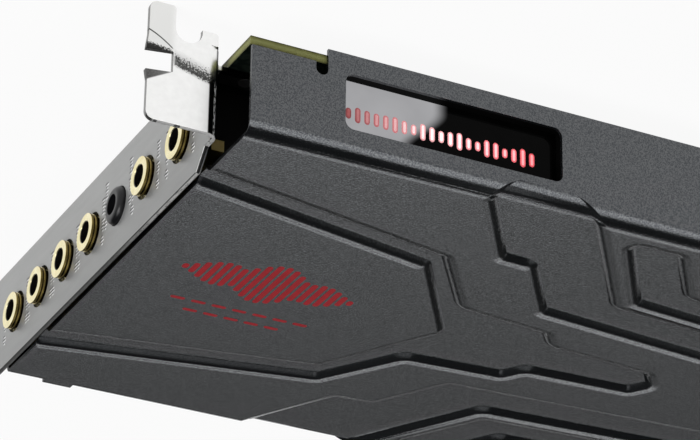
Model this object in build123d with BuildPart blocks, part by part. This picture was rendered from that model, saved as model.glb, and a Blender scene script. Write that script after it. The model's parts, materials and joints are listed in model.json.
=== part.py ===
# Half-length sound card: a circuit board on a slot bracket, with a row of audio sockets, and an
# embossed sheet-metal cover over the component side with a lit window in its upper wall.
#
# Frame: the origin is on the axis of the bracket's screw notch, level with the underside of the
# tab. +X runs from the bracket to the card's far end, +Y to the card's upper edge, and +Z out of
# the component side. The card lies on its solder side.

import os

from build123d import *

os.makedirs("parts", exist_ok=True)

# Slot bracket
bracket_sheet = 0.86
bracket_width = 18.42
bracket_solder_edge = -2.15
bracket_shoulder = 107.0
bracket_length = 120.02
tongue_width = 10.19
tongue_chamfer = 2.0
bend_inner_radius = 1.33
neck_start = 3.9
neck_end = 6.9
tab_depth = 11.43
tab_high_edge = 13.0
tab_corner_radius = 1.4
outer_lobe_tip = -7.46
inner_lobe_tip = -4.43
inner_lobe_side = 0.1
lobe_corner_radius = 0.6
notch_radius = 2.2
notch_to_bracket = 4.85
notch_to_board = 3.85
tab_slot_low = 0.65
tab_slot_high = 4.16
tab_slot_end = -7.3
lip_width = 2.3
lip_drop = 0.8
ear_length = 8.6
ear_width = 3.6
ear_centres = (-3.3, -88.5)
ear_screw_reach = 6.2
ear_screw_radius = 1.25

# Circuit board
board_thickness = 1.57
board_left = 2.45
board_length = 165.2
board_height = 98.4
board_corner = 1.5
edge_tongue_left = 46.9
edge_tongue_depth = 8.25
edge_short_width = 11.65
edge_key_width = 1.9
edge_key_depth = 7.4
edge_long_width = 7.65
edge_chamfer = 0.45
contact_pitch = 1.0
contact_width = 0.7
contact_length = 5.6
contact_thickness = 0.08
contact_setback = 1.2
short_contact_count = 11
long_contact_count = 7

# Cover
cover_sheet = 0.6
cover_left = 2.5
cover_end_setback = 0.45
cover_top = 7.18
cover_low_wall = -91.2
cover_height = 15.13
bend_radius = 1.6
emboss_depth = 1.0
emboss_angle = 60
cover_to_board = 0.1
wall_step_x = 15.2
wall_skirt = -2.37
wall_short_edge = 0.3
relief_width = 2.0
relief_bottom = 2.4
window_left = 18.28
window_right = 56.07
window_low = 1.0
window_high = 10.5
window_corner = 1.4
flat_tongue_left = 9.1
flat_tongue_length = 5.2
run_out = 6.0
mouth_reach = 8.0

# Outlines of the embossed fields, seen on the cover's face, from the bracket and the tab's top
collar_left_high = -5.4
collar_left_low = -79.2
collar_upper_points = ((48.7, -15.7), (59.6, -31.0), (76.9, -32.9), (80.0, -36.9), (100.4, -38.7))
collar_tip = (103.9, -43.4)
collar_lower_points = ((101.0, -47.9), (81.0, -48.9), (78.6, -52.8), (60.4, -54.1), (50.9, -68.6))
collar_corner = 2.4
panel_left_high = -11.6
panel_left_low = -72.3
panel_points = ((46.2, -21.4), (59.8, -42.0), (47.9, -62.4))
panel_corner = 1.0
upper_channel_left = ((44.3, 3.4), (55.6, -13.3), (61.4, -13.6), (71.2, -27.5))
upper_channel_right = (82.0, -19.0)
upper_channel_mouth = (44.3, 59.0)
upper_channel_slope = -0.09
lower_channel_left = ((56.2, -72.3), (63.3, -71.9), (71.2, -58.4))
lower_channel_right = (82.7, -67.3)
lower_channel_mouth = (42.5, 65.4)
lower_channel_slope = 0.062
upper_field_points = ((69.7, 2.3), (81.5, 2.3), (90.6, -10.3))
upper_field_low = (83.3, -17.6)
lower_field_points = ((73.2, -87.2), (84.0, -68.9))
lower_field_inner = ((91.2, -76.6), (84.6, -87.2))
field_corner = 2.2
field_end_margin = 9.2

# Cover posts and screws
post_across_flats = 5.0
post_bore_radius = 1.25
post_bore_depth = 8.0
post_edge_distance = 6.0
post_end_distance = 7.65
upper_post_x = 11.5
middle_post_x = 105.0
lower_post_x = 35.0
screw_play = 0.25
screw_fit = 0.05
screw_length = 6.0
screw_head_radius = 2.1
screw_head_height = 1.5
screw_cross_width = 0.7
screw_cross_depth = 0.8

# Sockets
socket_axis_height = 7.7
first_socket = -13.23
second_socket = -26.67
socket_pitch = 11.0
dark_socket_index = 2
close_socket_count = 6
socket_proud = 1.2
socket_bore_radius = 1.8
socket_rim_radius = 3.2
socket_groove_radius = 2.75
socket_rim_width = 0.4
socket_groove_width = 0.25
socket_mouth_chamfer = 0.15
bracket_hole_play = 0.4
bushing_flange_radius = 4.2
bushing_flange_width = 0.9
bushing_length = 6.0
bushing_tail_radius = 2.3
can_setback = 2.14
can_width = 10.4
can_height = 10.9
can_lip = 1.9
can_depth = 2.1
can_sheet = 0.3
can_play = 0.05
socket_back = 14.6
body_bore_radius = 2.1
body_back_wall = 1.2
pin_width = 0.9
pin_thickness = 0.4
pin_reach = 1.3
pin_play = 0.15
pin_rows = (4.2, 8.4, 12.6)
pin_spread = 3.0
dark_collar_radius = 3.2
dark_collar_play = 0.1
dark_collar_proud = 1.1
dark_collar_rounding = 1.0
dark_bore_radius = 1.75

# Lit window
frame_wall = 0.9
frame_recess = 1.4
lens_thickness = 1.2
lens_play = 0.1
guide_thickness = 2.0
led_height = 0.8
led_width = 2.8
led_depth = 1.4
led_count = 6
light_board_thickness = 1.0

# Parts on the board
chip_height = 1.2
processor_size = 20.0
processor_place = (92.0, -45.0)
converter_size = 10.0
dac_place = (64.0, -30.0)
adc_place = (64.0, -58.0)
amplifier_size = 7.0
amplifier_place = (64.0, -12.0)
op_amp_length = 4.9
op_amp_width = 3.9
op_amp_lead = 1.0
op_amp_lead_width = 0.45
op_amp_lead_pitch = 1.27
op_amp_lead_height = 0.5
op_amp_leads = 4
op_amp_count = 6
op_amp_x = 36.2
part_row_pitch = 12.0
relay_size = (14.6, 7.2, 10.0)
relay_x = 25.0
relay_pitch = 24.0
relay_count = 3
film_size = (5.0, 7.2, 8.0)
film_x = 43.0
can_capacitor_radius = 3.15
can_capacitor_height = 7.7
can_capacitor_foot = 1.2
can_capacitor_x = 52.0
supply_capacitor_radius = 4.0
supply_capacitor_height = 10.2
supply_capacitor_end_distance = 19.65
supply_capacitor_count = 4
supply_capacitor_pitch = 16.0
crystal_length = 11.0
crystal_width = 4.6
crystal_height = 3.5
crystal_places = ((78.0, -26.0), (78.0, -62.0))
regulator_size = (6.5, 3.5, 1.7)
regulator_end_distance = 45.65
coil_size = 7.0
coil_height = 4.0
coil_corner = 1.5
coil_end_distance = 33.65
supply_count = 3
supply_pitch = 18.0
ceramic_size = (1.6, 0.8, 0.8)
ceramic_columns = 6
ceramic_rows = 2
ceramic_pitch = 3.4
ceramic_row_gap = 27.0

# Derived values
bracket_high_edge = bracket_solder_edge + bracket_width
bracket_inner = bracket_sheet
board_top = cover_top - cover_sheet - cover_to_board
board_low = board_top - board_height
board_bottom = -board_thickness
board_right = board_left + board_length
cover_right = board_right - cover_end_setback
field_end = cover_right - field_end_margin
face_inside = cover_height - cover_sheet
wall_inside = cover_top - cover_sheet
bushing_back = bracket_inner + bushing_flange_width
close_sockets = [second_socket - step * socket_pitch for step in range(close_socket_count)]
socket_ys = [first_socket, *close_sockets]
dark_socket_y = socket_ys.pop(dark_socket_index)
notch_centre = (-notch_to_bracket, -notch_to_board)
part_row_middle = (board_top + board_low) / 2
regulator_x = board_right - regulator_end_distance
coil_x = board_right - coil_end_distance
supply_capacitor_x = board_right - supply_capacitor_end_distance
end_post_x = board_right - post_end_distance
upper_post_y = board_top - post_edge_distance
lower_post_y = board_low + post_edge_distance
post_places = [(x, upper_post_y) for x in (upper_post_x, middle_post_x, end_post_x)]
post_places += [(x, lower_post_y) for x in (lower_post_x, middle_post_x, end_post_x)]

# Sketch planes: heights count from the board's component side, lengths from the bracket's outer
# face and from the top of the tab
card = Plane(origin=(notch_to_bracket, bracket_sheet, notch_to_board))
across = Plane(origin=card.origin, x_dir=(0, 1, 0), z_dir=(1, 0, 0))
upright = Plane(origin=card.origin, x_dir=(1, 0, 0), z_dir=(0, -1, 0))


def save(builder, name):
    builder.part.label = name
    export_step(builder.part, f"parts/{name}.step")


def slanted(point, slope, x):
    """The point at x on the line of this slope through a point."""
    return (x, point[1] + slope * (x - point[0]))


def crossing(first, second, y):
    """The point at y on the line through two points."""
    share = (y - first[1]) / (second[1] - first[1])
    return (first[0] + share * (second[0] - first[0]), y)


def sloping(points, height, corner, depth, mode):
    """A rounded outline at this height: a sunk field narrows to its depth, a raised one widens."""
    with BuildSketch(card.offset(height)) as outline:
        with BuildLine():
            Polyline(*points, close=True)
        make_face()
        fillet(outline.vertices(), corner)
    slope = emboss_angle if mode == Mode.SUBTRACT else -emboss_angle
    extrude(outline.sketch, amount=-depth, taper=slope, mode=mode)


# Cover

mouth_top = cover_top + run_out
mouth_low = cover_low_wall - run_out
collar_points = [
    (cover_left - run_out, collar_left_high),
    *collar_upper_points,
    collar_tip,
    *collar_lower_points,
    (cover_left - run_out, collar_left_low),
]
raised_panel_points = [
    (cover_left - run_out, panel_left_high),
    *panel_points,
    (cover_left - run_out, panel_left_low),
]
upper_channel_points = [
    (upper_channel_mouth[0], mouth_top),
    *upper_channel_left,
    slanted(upper_channel_left[-1], upper_channel_slope, field_end),
    slanted(upper_channel_right, upper_channel_slope, field_end),
    upper_channel_right,
    (upper_channel_mouth[1], mouth_top),
]
lower_channel_points = [
    (lower_channel_mouth[0], mouth_low),
    *lower_channel_left,
    slanted(lower_channel_left[-1], lower_channel_slope, field_end),
    slanted(lower_channel_right, lower_channel_slope, field_end),
    lower_channel_right,
    (lower_channel_mouth[1], mouth_low),
]
upper_field = [
    *upper_field_points,
    slanted(upper_field_points[-1], upper_channel_slope, field_end),
    slanted(upper_field_low, upper_channel_slope, field_end),
    upper_field_low,
]
lower_field = [
    *lower_field_points,
    slanted(lower_field_points[-1], lower_channel_slope, field_end),
    slanted(lower_field_inner[0], lower_channel_slope, field_end),
    *lower_field_inner,
]


def bend_box(height, inset, left):
    """The cover's closed form up to this height, with rounded bends on three sides."""
    low_corner = (left, cover_low_wall + inset)
    high_corner = (cover_right - inset, cover_top - inset)
    with BuildSketch(card.offset(wall_skirt)) as base:
        with Locations(low_corner):
            Rectangle(
                high_corner[0] - low_corner[0],
                high_corner[1] - low_corner[1],
                align=(Align.MIN, Align.MIN),
            )
    block = extrude(base.sketch, amount=height - wall_skirt, mode=Mode.PRIVATE)
    top_edges = block.edges().group_by(Axis.Z)[-1].sort_by(Axis.X)[1:]
    corner_edges = block.edges().filter_by(Axis.Z).group_by(Axis.X)[-1]
    add(block.fillet(bend_radius - inset, [*top_edges, *corner_edges]))


def channel_mouth(points, height, inset, inner_y):
    """Deepen a channel where it runs over the bend."""
    first, second, third = points[0], points[1], points[2]
    last, before = points[-1], points[-2]
    left = [first, second, crossing(second, third, inner_y)]
    if abs(inner_y - first[1]) < abs(second[1] - first[1]):
        left = [first, crossing(first, second, inner_y)]
    with BuildSketch(card.offset(height)) as mouth:
        with BuildLine():
            Polyline(*left, crossing(last, before, inner_y), last, close=True)
        make_face()
    depth = emboss_depth + bend_radius - inset
    extrude(mouth.sketch, amount=-depth, taper=emboss_angle, mode=Mode.SUBTRACT)


def embossed_form(inset, left):
    """The cover's solid form: the raised plates over the sunk floor."""
    height = cover_height - inset
    bend_box(height, inset, left)
    sloping(collar_points, height, collar_corner, emboss_depth, Mode.SUBTRACT)
    sloping(raised_panel_points, height, panel_corner, emboss_depth, Mode.ADD)
    for points in (upper_channel_points, lower_channel_points, upper_field, lower_field):
        sloping(points, height, field_corner, emboss_depth, Mode.SUBTRACT)
    channel_mouth(upper_channel_points, height, inset, cover_top - mouth_reach)
    channel_mouth(lower_channel_points, height, inset, cover_low_wall + mouth_reach)
    bend_box(height - emboss_depth, inset, left)


with BuildPart() as outer_form:
    embossed_form(0, cover_left)

with BuildPart() as inner_form:
    embossed_form(cover_sheet, cover_left - run_out)

with BuildPart() as shield_cover:
    add(outer_form.part)
    add(inner_form.part, mode=Mode.SUBTRACT)
    split(bisect_by=across.offset(cover_left), keep=Keep.TOP)
    # The lower and far walls stand on the board, and the upper wall reaches past its edge
    with BuildSketch(card.offset(wall_skirt)):
        with Locations((cover_left - run_out, wall_inside)):
            Rectangle(cover_right, board_height + run_out, align=(Align.MIN, Align.MAX))
        with Locations((cover_right + run_out, wall_inside)):
            Rectangle(board_height, board_height + run_out, align=(Align.MAX, Align.MAX))
    extrude(amount=cover_to_board - wall_skirt, mode=Mode.SUBTRACT)
    # Beside the bracket the upper wall stops short, with a relief cut at the step
    with BuildSketch(upright.offset(-cover_top)):
        with Locations((cover_left, wall_skirt)):
            Rectangle(
                wall_step_x - cover_left,
                wall_short_edge - wall_skirt,
                align=(Align.MIN, Align.MIN),
            )
        with Locations((wall_step_x - relief_width / 2, wall_short_edge)):
            Rectangle(
                relief_width,
                relief_bottom - relief_width / 2 - wall_short_edge,
                align=(Align.CENTER, Align.MIN),
            )
        with Locations((wall_step_x - relief_width / 2, relief_bottom - relief_width / 2)):
            Circle(relief_width / 2)
        with Locations(((window_left + window_right) / 2, (window_low + window_high) / 2)):
            RectangleRounded(window_right - window_left, window_high - window_low, window_corner)
    extrude(amount=cover_sheet, mode=Mode.SUBTRACT)
    # A short flat tongue takes the place of the lower bend near the bracket
    with BuildSketch(card.offset(cover_height)):
        with Locations((flat_tongue_left, cover_low_wall)):
            Rectangle(flat_tongue_length, bend_radius, align=Align.MIN)
    extrude(amount=-cover_sheet)
save(shield_cover, "shield_cover")

with BuildPart() as cover_posts:
    with BuildSketch(card):
        with Locations(*post_places):
            RegularPolygon(post_across_flats / 2, 6, major_radius=False)
    extrude(amount=face_inside)
    with BuildSketch(card):
        with Locations(*post_places):
            Circle(post_bore_radius)
    extrude(amount=post_bore_depth, mode=Mode.SUBTRACT)
save(cover_posts, "cover_posts")


def screws(places, shank_radius, length):
    """Cross-head screws from the solder side, with their heads on the board."""
    with BuildSketch(card.offset(board_bottom)) as shanks:
        with Locations(*places):
            Circle(shank_radius)
    extrude(shanks.sketch, amount=length)
    with BuildSketch(card.offset(board_bottom)) as heads:
        with Locations(*places):
            Circle(screw_head_radius)
    extrude(heads.sketch, amount=-screw_head_height)
    with BuildSketch(card.offset(board_bottom - screw_head_height)) as crosses:
        with Locations(*places):
            Rectangle(screw_head_radius, screw_cross_width)
            Rectangle(screw_cross_width, screw_head_radius)
    extrude(crosses.sketch, amount=screw_cross_depth, mode=Mode.SUBTRACT)


ear_screw_places = [(ear_screw_reach, centre) for centre in ear_centres]

with BuildPart() as cover_screws:
    screws(post_places, post_bore_radius - screw_fit, screw_length)
save(cover_screws, "cover_screws")

with BuildPart() as bracket_screws:
    screws(ear_screw_places, ear_screw_radius - screw_fit, board_thickness + bracket_sheet)
save(bracket_screws, "bracket_screws")

# Circuit board

edge_end = board_low - edge_tongue_depth
edge_long_left = edge_tongue_left + edge_short_width + edge_key_width
edge_tongue_width = edge_short_width + edge_key_width + edge_long_width
pin_places = [
    (row, y + side * pin_spread)
    for y in [*socket_ys, dark_socket_y]
    for row in pin_rows
    for side in (-1, 1)
]

with BuildPart() as circuit_board:
    with BuildSketch(card.offset(board_bottom)) as board_outline:
        with Locations((board_left, board_top)):
            Rectangle(board_right - board_left, board_height, align=(Align.MIN, Align.MAX))
        fillet(board_outline.vertices().group_by(Axis.X)[-1], board_corner)
        with Locations((edge_tongue_left, board_low)):
            Rectangle(edge_tongue_width, edge_tongue_depth, align=(Align.MIN, Align.MAX))
        with Locations((edge_tongue_left + edge_short_width, edge_end)):
            Rectangle(edge_key_width, edge_key_depth, align=Align.MIN, mode=Mode.SUBTRACT)
        with Locations(*post_places):
            Circle(post_bore_radius + screw_play, mode=Mode.SUBTRACT)
        with Locations(*ear_screw_places):
            Circle(ear_screw_radius + screw_play, mode=Mode.SUBTRACT)
        with Locations(*pin_places):
            Rectangle(pin_width + 2 * pin_play, pin_thickness + 2 * pin_play, mode=Mode.SUBTRACT)
    extrude(amount=board_thickness)
    chamfer(circuit_board.faces().sort_by(Axis.Y)[:2].edges().filter_by(Axis.X), edge_chamfer)
save(circuit_board, "circuit_board")


def edge_contact_row(left, count):
    """The gold contacts of one stretch of the board's edge, on both sides."""
    middle_y = edge_end + contact_setback + contact_length / 2
    middle_x = left + (count - 1) * contact_pitch / 2
    for height in (0, board_bottom - contact_thickness):
        with BuildSketch(card.offset(height)) as pads:
            with Locations((middle_x, middle_y)):
                with GridLocations(contact_pitch, 0, count, 1):
                    Rectangle(contact_width, contact_length)
        extrude(pads.sketch, amount=contact_thickness)


with BuildPart() as edge_contacts:
    edge_contact_row(edge_tongue_left + contact_pitch / 2, short_contact_count)
    edge_contact_row(edge_long_left + contact_pitch / 2, long_contact_count)
save(edge_contacts, "edge_contacts")

# Slot bracket

bend_outer_radius = bend_inner_radius + bracket_sheet
tongue_inset = (bracket_width - tongue_width) / 2


def slot_lip(slot_edge, fold_edge, top, mode):
    """A wedge beside the tab's slot: cut from the top and added below, it bends the lip down."""
    with BuildSketch(across.offset(-tab_depth)) as wedge:
        with BuildLine():
            Polyline((top, fold_edge), (top, slot_edge), (top - lip_drop, slot_edge), close=True)
        make_face()
    apex = Vertex(card.from_local_coords((tab_slot_end, top, slot_edge)))
    loft([wedge.sketch.face(), apex], mode=mode)


with BuildPart() as slot_bracket:
    with BuildSketch(across) as plate:
        with BuildLine():
            Polyline(
                (-bend_outer_radius, bracket_solder_edge),
                (-bend_outer_radius, tab_high_edge),
                (-neck_start, tab_high_edge),
                (-neck_end, bracket_high_edge),
                (-bracket_shoulder, bracket_high_edge),
                (-bracket_shoulder - tongue_inset, bracket_high_edge - tongue_inset),
                (-bracket_length, bracket_high_edge - tongue_inset),
                (-bracket_length, bracket_solder_edge + tongue_inset),
                (-bracket_shoulder - tongue_inset, bracket_solder_edge + tongue_inset),
                (-bracket_shoulder, bracket_solder_edge),
                close=True,
            )
        make_face()
        chamfer(plate.vertices().group_by(Axis.X)[0], tongue_chamfer)
        with Locations(*[(y, socket_axis_height) for y in socket_ys]):
            Circle(socket_rim_radius + bracket_hole_play, mode=Mode.SUBTRACT)
        with Locations((dark_socket_y, socket_axis_height)):
            Circle(dark_collar_radius + dark_collar_play, mode=Mode.SUBTRACT)
    extrude(amount=bracket_sheet)
    # The bend between the plate and the tab
    with BuildSketch(card.offset(bracket_solder_edge)):
        with Locations((-bend_inner_radius, -bend_outer_radius)):
            Circle(bend_outer_radius)
            Circle(bend_inner_radius, mode=Mode.SUBTRACT)
            Rectangle(
                bend_outer_radius,
                bend_outer_radius,
                align=Align.MIN,
                mode=Mode.INTERSECT,
            )
    extrude(amount=tab_high_edge - bracket_solder_edge)
    # The tab with its two lobes, the screw notch between them and the slot
    with BuildSketch(upright) as tab:
        with BuildLine():
            Polyline(
                (-bend_inner_radius, tab_high_edge),
                (-tab_depth, tab_high_edge),
                (-tab_depth, outer_lobe_tip),
                (notch_centre[0] - notch_radius, outer_lobe_tip),
                (notch_centre[0] - notch_radius, inner_lobe_tip),
                (inner_lobe_side, inner_lobe_tip),
                (inner_lobe_side, bracket_solder_edge),
                (-bend_inner_radius, bracket_solder_edge),
                close=True,
            )
        make_face()
        fillet(tab.vertices().group_by(Axis.X)[0], tab_corner_radius)
        fillet(tab.vertices().group_by(Axis.Y)[0].sort_by(Axis.X)[-1:], lobe_corner_radius)
        fillet(tab.vertices().group_by(Axis.X)[-1].sort_by(Axis.Y)[:1], lobe_corner_radius)
        with Locations(notch_centre):
            Circle(notch_radius, mode=Mode.SUBTRACT)
            Rectangle(
                2 * notch_radius,
                notch_centre[1] - inner_lobe_tip,
                align=(Align.CENTER, Align.MAX),
                mode=Mode.SUBTRACT,
            )
        with Locations((tab_slot_end, tab_slot_low)):
            Rectangle(
                tab_depth,
                tab_slot_high - tab_slot_low,
                align=(Align.MAX, Align.MIN),
                mode=Mode.SUBTRACT,
            )
    extrude(amount=bracket_sheet)
    for slot_edge, fold_edge in (
        (tab_slot_low, tab_slot_low - lip_width),
        (tab_slot_high, tab_slot_high + lip_width),
    ):
        slot_lip(slot_edge, fold_edge, -bracket_sheet, Mode.ADD)
        slot_lip(slot_edge, fold_edge, 0, Mode.SUBTRACT)
    # Ears that the board is screwed to
    with BuildSketch(card):
        with Locations(*[(0, centre) for centre in ear_centres]):
            Rectangle(ear_length, ear_width, align=(Align.MIN, Align.CENTER))
        with Locations(*ear_screw_places):
            Circle(ear_screw_radius, mode=Mode.SUBTRACT)
    extrude(amount=bracket_sheet)
save(slot_bracket, "slot_bracket")

# Sockets


def socket_axis(y):
    return Plane(
        origin=card.from_local_coords((0, y, socket_axis_height)),
        x_dir=upright.x_dir,
        z_dir=upright.z_dir,
    )


def box_between(low, high, mode=Mode.ADD):
    """A block from one corner to the other, in the card's own lengths and heights."""
    with BuildSketch(card.offset(low[2])) as base:
        with Locations((low[0], low[1])):
            Rectangle(high[0] - low[0], high[1] - low[1], align=Align.MIN)
    extrude(base.sketch, amount=high[2] - low[2], mode=mode)


def round_hole(y, radius, start, end, mode=Mode.SUBTRACT):
    """A round hole or post along a socket's axis."""
    with BuildSketch(across.offset(start)) as circle:
        with Locations((y, socket_axis_height)):
            Circle(radius)
    extrude(circle.sketch, amount=end - start, mode=mode)


def bushing(y):
    """The turned bushing of a plated socket, with two rims in front of the bracket."""
    mouth = -socket_proud
    first_rim = mouth + socket_rim_width
    second_rim = first_rim + socket_groove_width
    neck = second_rim + socket_rim_width
    tail = mouth + bushing_length
    with BuildSketch(socket_axis(y)) as profile:
        with BuildLine():
            Polyline(
                (mouth + socket_mouth_chamfer, socket_bore_radius),
                (mouth, socket_bore_radius + socket_mouth_chamfer),
                (mouth, socket_rim_radius),
                (first_rim, socket_rim_radius),
                (first_rim, socket_groove_radius),
                (second_rim, socket_groove_radius),
                (second_rim, socket_rim_radius),
                (neck, socket_rim_radius),
                (neck, socket_groove_radius),
                (bracket_inner, socket_groove_radius),
                (bracket_inner, bushing_flange_radius),
                (bushing_back, bushing_flange_radius),
                (bushing_back, bushing_tail_radius),
                (tail, bushing_tail_radius),
                (tail, socket_bore_radius),
                close=True,
            )
        make_face()
    revolve(profile.sketch, Axis(socket_axis(y).origin, card.x_dir))


def contact_pins(y):
    """The flat pins that carry a socket's contacts through the board."""
    with BuildSketch(card) as pins:
        with Locations(*[(row, y + side * pin_spread) for row in pin_rows for side in (-1, 1)]):
            Rectangle(pin_width, pin_thickness)
    extrude(pins.sketch, amount=board_bottom - pin_reach)


can_front = bracket_inner + can_setback
body_front = can_front + can_sheet + can_play
body_half = can_width / 2 - can_sheet - can_play
body_height = can_height - can_sheet - can_play
lip_low = can_height - can_lip
can_end = can_front + can_depth
tail_end = bushing_length - socket_proud

for number, y in enumerate(socket_ys, start=1):
    with BuildPart() as socket_bushing:
        bushing(y)
    save(socket_bushing, f"socket_{number}_bushing")

    # A short plated cap with a lip on three sides, over the front of the moulded body
    with BuildPart() as socket_can:
        half = can_width / 2
        box_between((can_front, y - half, lip_low), (can_end, y + half, can_height))
        inner = half - can_sheet
        low = (can_front + can_sheet, y - inner, lip_low)
        high = (can_end, y + inner, can_height - can_sheet)
        box_between(low, high, Mode.SUBTRACT)
        round_hole(y, bushing_tail_radius + can_play, can_front, can_front + can_sheet)
    save(socket_can, f"socket_{number}_can")

    with BuildPart() as socket_body:
        box_between((body_front, y - body_half, 0), (socket_back, y + body_half, body_height))
        round_hole(y, bushing_tail_radius + can_play, body_front, tail_end)
        round_hole(y, body_bore_radius, tail_end, socket_back - body_back_wall)
    save(socket_body, f"socket_{number}_body")

    with BuildPart() as socket_pins:
        contact_pins(y)
    save(socket_pins, f"socket_{number}_pins")

# The dark socket is one moulding, with a rounded collar through the bracket
with BuildPart() as dark_socket_body:
    half = can_width / 2
    box_between((bracket_inner, dark_socket_y - half, 0), (socket_back, dark_socket_y + half, can_height))
    round_hole(dark_socket_y, dark_collar_radius, -dark_collar_proud, bracket_inner, Mode.ADD)
    collar_rim = dark_socket_body.faces().sort_by(Axis.X)[0].edges()
    fillet(collar_rim, dark_collar_rounding)
    round_hole(dark_socket_y, dark_bore_radius, -dark_collar_proud, socket_back - body_back_wall)
save(dark_socket_body, "dark_socket_body")

with BuildPart() as dark_socket_pins:
    contact_pins(dark_socket_y)
save(dark_socket_pins, "dark_socket_pins")

# Lit window, from the wall inwards: frame, lens, light guide, lamps and their board

lens_front = wall_inside - frame_recess
guide_front = lens_front - lens_thickness
led_front = guide_front - guide_thickness
light_board_front = led_front - led_height
frame_high = window_high + frame_wall

with BuildPart() as window_frame:
    low = (window_left - frame_wall, led_front, 0)
    box_between(low, (window_right + frame_wall, wall_inside, frame_high))
    low = (window_left, led_front, window_low)
    box_between(low, (window_right, wall_inside, window_high), Mode.SUBTRACT)
save(window_frame, "window_frame")

lens_low = (window_left + lens_play, window_low + lens_play)
lens_high = (window_right - lens_play, window_high - lens_play)

with BuildPart() as window_lens:
    low = (lens_low[0], guide_front, lens_low[1])
    box_between(low, (lens_high[0], lens_front, lens_high[1]))
save(window_lens, "window_lens")

with BuildPart() as light_guide:
    low = (lens_low[0], led_front, lens_low[1])
    box_between(low, (lens_high[0], guide_front, lens_high[1]))
save(light_guide, "light_guide")

with BuildPart() as light_board:
    low = (window_left, light_board_front - light_board_thickness, 0)
    box_between(low, (window_right, light_board_front, frame_high))
save(light_board, "light_board")

with BuildPart() as lamps:
    with BuildSketch(upright.offset(-led_front)):
        with Locations(((window_left + window_right) / 2, (window_low + window_high) / 2)):
            with GridLocations((window_right - window_left) / led_count, 0, led_count, 1):
                Rectangle(led_width, led_depth)
    extrude(amount=led_height)
save(lamps, "lamps")

# Parts on the board


def block_at(place, size):
    """A block that stands on the board, centred on a place."""
    with BuildSketch(card) as base:
        with Locations(place):
            Rectangle(size[0], size[1])
    extrude(base.sketch, amount=size[2])


def row_places(x, count, pitch):
    return [(x, part_row_middle + (step - (count - 1) / 2) * pitch) for step in range(count)]


with BuildPart() as audio_processor:
    block_at(processor_place, (processor_size, processor_size, chip_height))
save(audio_processor, "audio_processor")

with BuildPart() as output_converter:
    block_at(dac_place, (converter_size, converter_size, chip_height))
save(output_converter, "output_converter")

with BuildPart() as input_converter:
    block_at(adc_place, (converter_size, converter_size, chip_height))
save(input_converter, "input_converter")

with BuildPart() as headphone_amplifier:
    block_at(amplifier_place, (amplifier_size, amplifier_size, chip_height))
save(headphone_amplifier, "headphone_amplifier")

with BuildPart() as op_amps:
    with BuildSketch(card):
        with Locations(*row_places(op_amp_x, op_amp_count, part_row_pitch)):
            Rectangle(op_amp_width, op_amp_length)
    extrude(amount=chip_height)
    with BuildSketch(card):
        with Locations(*row_places(op_amp_x, op_amp_count, part_row_pitch)):
            with GridLocations(0, op_amp_lead_pitch, 1, op_amp_leads):
                Rectangle(op_amp_width + 2 * op_amp_lead, op_amp_lead_width)
    extrude(amount=op_amp_lead_height)
save(op_amps, "op_amps")

with BuildPart() as relays:
    for place in row_places(relay_x, relay_count, relay_pitch):
        block_at(place, relay_size)
save(relays, "relays")

with BuildPart() as film_capacitors:
    for place in row_places(film_x, op_amp_count, part_row_pitch):
        block_at(place, film_size)
save(film_capacitors, "film_capacitors")


def can_capacitors(places, radius, height):
    """Electrolytic capacitors: a can on a square foot."""
    with BuildSketch(card) as feet:
        with Locations(*places):
            Rectangle(2 * radius, 2 * radius)
    extrude(feet.sketch, amount=can_capacitor_foot)
    with BuildSketch(card.offset(can_capacitor_foot)) as cans:
        with Locations(*places):
            Circle(radius)
    extrude(cans.sketch, amount=height - can_capacitor_foot)


with BuildPart() as signal_capacitors:
    places = row_places(can_capacitor_x, op_amp_count, part_row_pitch)
    can_capacitors(places, can_capacitor_radius, can_capacitor_height)
save(signal_capacitors, "signal_capacitors")

with BuildPart() as supply_capacitors:
    places = row_places(supply_capacitor_x, supply_capacitor_count, supply_capacitor_pitch)
    can_capacitors(places, supply_capacitor_radius, supply_capacitor_height)
save(supply_capacitors, "supply_capacitors")

with BuildPart() as clock_crystals:
    with BuildSketch(card):
        with Locations(*crystal_places):
            SlotOverall(crystal_length, crystal_width)
    extrude(amount=crystal_height)
save(clock_crystals, "clock_crystals")

with BuildPart() as voltage_regulators:
    for place in row_places(regulator_x, supply_count, supply_pitch):
        block_at(place, regulator_size)
save(voltage_regulators, "voltage_regulators")

with BuildPart() as supply_coils:
    with BuildSketch(card):
        with Locations(*row_places(coil_x, supply_count, supply_pitch)):
            RectangleRounded(coil_size, coil_size, coil_corner)
    extrude(amount=coil_height)
save(supply_coils, "supply_coils")

with BuildPart() as chip_capacitors:
    with BuildSketch(card):
        with Locations(processor_place):
            with GridLocations(ceramic_pitch, ceramic_row_gap, ceramic_columns, ceramic_rows):
                Rectangle(ceramic_size[0], ceramic_size[1])
    extrude(amount=ceramic_size[2])
save(chip_capacitors, "chip_capacitors")
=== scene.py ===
import json
import math

import bmesh
import bpy
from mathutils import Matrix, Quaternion, Vector
from mathutils.bvhtree import BVHTree


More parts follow.
